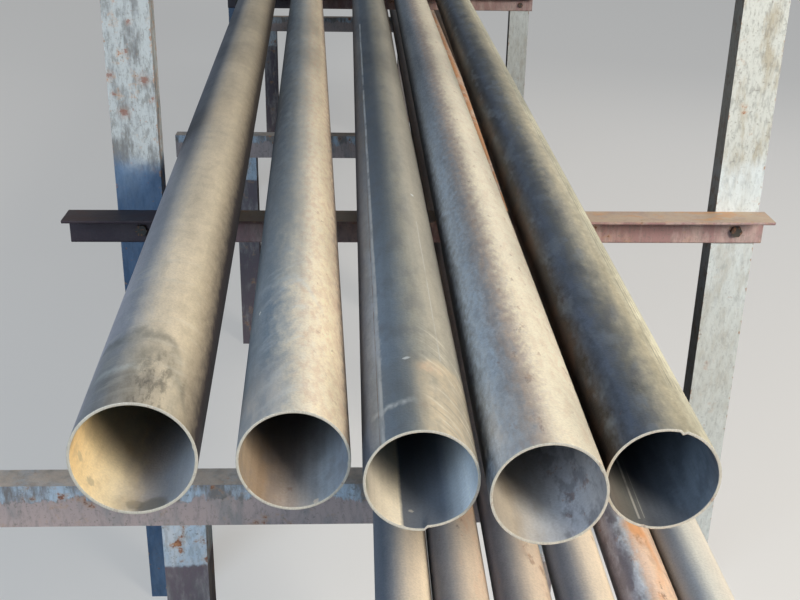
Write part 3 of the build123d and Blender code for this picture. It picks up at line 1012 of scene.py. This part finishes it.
# Painted light and shade: the colours round each bore are lit warm on the left wall and cooler on
# the right, as light falls in at the near end, and dark at the top
bore_looks = {
    "large_tube_1": {
        "round": [
            (-179, (0.07, 0.08, 0.11)), (-128, (0.30, 0.24, 0.18)), (-98, (0.95, 0.68, 0.34)),
            (-60, (0.88, 0.69, 0.40)), (-25, (0.80, 0.69, 0.48)), (5, (0.35, 0.33, 0.32)),
            (30, (0.28, 0.31, 0.36)), (70, (0.44, 0.51, 0.59)), (179, (0.07, 0.08, 0.11)),
        ],
        "mill": (0.2, 0.5, 0.2), "depth_shade": 0.60, "rust": [(60.0, 0.12, 0.4, -150, 40)],
    },
    "large_tube_2": {
        "round": [
            (-179, (0.06, 0.06, 0.08)), (-90, (0.39, 0.31, 0.22)), (-35, (0.33, 0.24, 0.165)),
            (0, (0.42, 0.37, 0.34)), (35, (0.48, 0.52, 0.56)), (80, (0.36, 0.42, 0.50)),
            (179, (0.06, 0.06, 0.08)),
        ],
        "mill": (0.45, 0.5, 0.1), "depth_shade": 0.70, "rust": [(40.0, 0.26, 0.45, -90, 10)],
    },
    "large_tube_3": {
        "round": [
            (-179, (0.10, 0.10, 0.11)), (-85, (0.31, 0.28, 0.24)), (-21, (0.82, 0.73, 0.57)),
            (-17, (0.12, 0.13, 0.15)), (28, (0.19, 0.22, 0.27)), (62, (0.84, 0.93, 1.00)),
            (100, (0.56, 0.66, 0.76)), (179, (0.10, 0.10, 0.11)),
        ],
        "mill": (0.3, 0.8, 0.1), "waver": 0.06, "ragged": 0.04, "depth_shade": 0.55,
        "rust": [(90.0, 0.10, 0.4, -120, -20)],
    },
    "large_tube_4": {
        "round": [
            (-179, (0.14, 0.15, 0.17)), (-85, (0.32, 0.29, 0.25)), (-30, (0.47, 0.41, 0.33)),
            (5, (0.54, 0.55, 0.57)), (35, (0.60, 0.61, 0.66)), (70, (0.58, 0.56, 0.56)),
            (179, (0.14, 0.15, 0.17)),
        ],
        "mill": (0.2, 0.7, 0.1), "depth_shade": 0.85, "rust": [(85.0, 0.36, 0.5, 20, 110)],
    },
    "large_tube_5": {
        "round": [
            (-179, (0.05, 0.06, 0.08)), (-90, (0.07, 0.08, 0.10)), (-45, (0.16, 0.14, 0.12)),
            (-20, (0.13, 0.13, 0.12)), (0, (0.10, 0.11, 0.13)), (70, (0.21, 0.25, 0.30)),
            (179, (0.05, 0.06, 0.08)),
        ],
        "mill": (0.5, 0.8, 0.1), "depth_shade": 0.70,
    },
}
bore_marks = {
    "large_tube_1": [
        fleck_mark(0.004, 14.0, 0.019, 0.9, (0.13, 0.13, 0.12), 0.7, "Inside"),
        fleck_mark(0.012, -4.0, 0.011, 1.2, (0.17, 0.16, 0.13), 0.5, "Inside"),
        fleck_mark(0.022, -52.0, 0.006, 0.8, (0.42, 0.38, 0.28), 0.6, "Inside"),
        fleck_mark(0.035, -75.0, 0.007, 1.0, (0.50, 0.44, 0.30), 0.5, "Inside"),
        mottle_mark(70.0, -110, 0, (0.52, 0.40, 0.24), 0.35, 0.44, 0.22, "Inside"),
    ],
    "large_tube_2": [
        mottle_mark(60.0, -110, 110, (0.24, 0.22, 0.22), 0.35, 0.44, 0.22, "Inside"),
        fleck_mark(0.004, 24.0, 0.004, 0.8, (0.78, 0.70, 0.60), 0.9, "Inside"),
    ],
    "large_tube_3": [
        fleck_mark(0.02, -78.0, 0.010, 0.7, (0.30, 0.30, 0.22), 0.6, "Inside"),
        fleck_mark(0.03, -8.0, 0.003, 1.0, (0.55, 0.52, 0.45), 0.7, "Inside"),
    ],
    "large_tube_4": [
        mottle_mark(80.0, 15, 130, (0.16, 0.15, 0.17), 0.55, 0.44, 0.20, "Inside"),
        mottle_mark(60.0, -90, 10, (0.34, 0.28, 0.22), 0.30, 0.44, 0.24, "Inside"),
    ],
    "large_tube_5": [
        mottle_mark(50.0, 20, 150, (0.05, 0.06, 0.08), 0.45, 0.42, 0.24, "Inside"),
        line_mark(-17.0, 0.030, 0.010, 0.4, (0.42, 0.41, 0.38), "Inside"),
        line_mark(-10.0, 0.012, 0.014, 0.3, (0.34, 0.34, 0.32), "Inside"),
    ],
}
# The weld stands 0.8 mm proud inside, at an angle right of the bottom line
weld_angles = dict(zip(large_looks, (100.0, 85.0, -17.0, 120.0, -14.0)))
weld_height = 0.0008
# The third tube's rim is knocked flat low on the right, the fifth's has a burr on top
dent_depth = 0.0035
dent_reach = 0.030
dent_start = radians(5.0)
dent_width = radians(42.0)
burr_depth = 0.0025
burr_reach = 0.002
burr_angle = radians(166.0)
burr_half_width = pi / 80
for node_name, look in large_looks.items():
    wall = wide_wall if node_name == "large_tube_1" else large_wall
    tube, end, turn, radius = make_tube(node_name, wall, large_sides, large_rings)
    weld_angle = radians(weld_angles[node_name])
    for vertex in tube.data.vertices:
        across, down, along = vertex.co
        distance = Vector((across, down)).length
        from_bottom = atan2(across, down)
        inward = 0.0
        gap = (from_bottom - weld_angle + pi) % (2 * pi) - pi
        if distance < radius - wall / 2 and abs(gap) < pi / large_sides:
            inward += weld_height
        if node_name == "large_tube_3" and along < dent_reach:
            fading = 1.0 - along / dent_reach
            spot = (from_bottom - dent_start) / dent_width
            if 0.0 < spot < 1.0:
                inward += dent_depth * fading * (1.0 - spot) ** 0.7
        if node_name == "large_tube_5" and along < burr_reach:
            if abs(from_bottom - burr_angle) < burr_half_width:
                inward += burr_depth
        vertex.co.x -= inward * across / distance
        vertex.co.y -= inward * down / distance
    skin = wall_finish(node_name + "_skin", end, turn, look, "Around", large_marks[node_name])
    bore_look, marks = bore_looks[node_name], bore_marks[node_name]
    bore_skin = wall_finish(node_name + "_inside", end, turn, bore_look, "Inside", marks)
    lay_tube(tube, end, turn, (skin, bore_skin, sawn_rim), node_name)
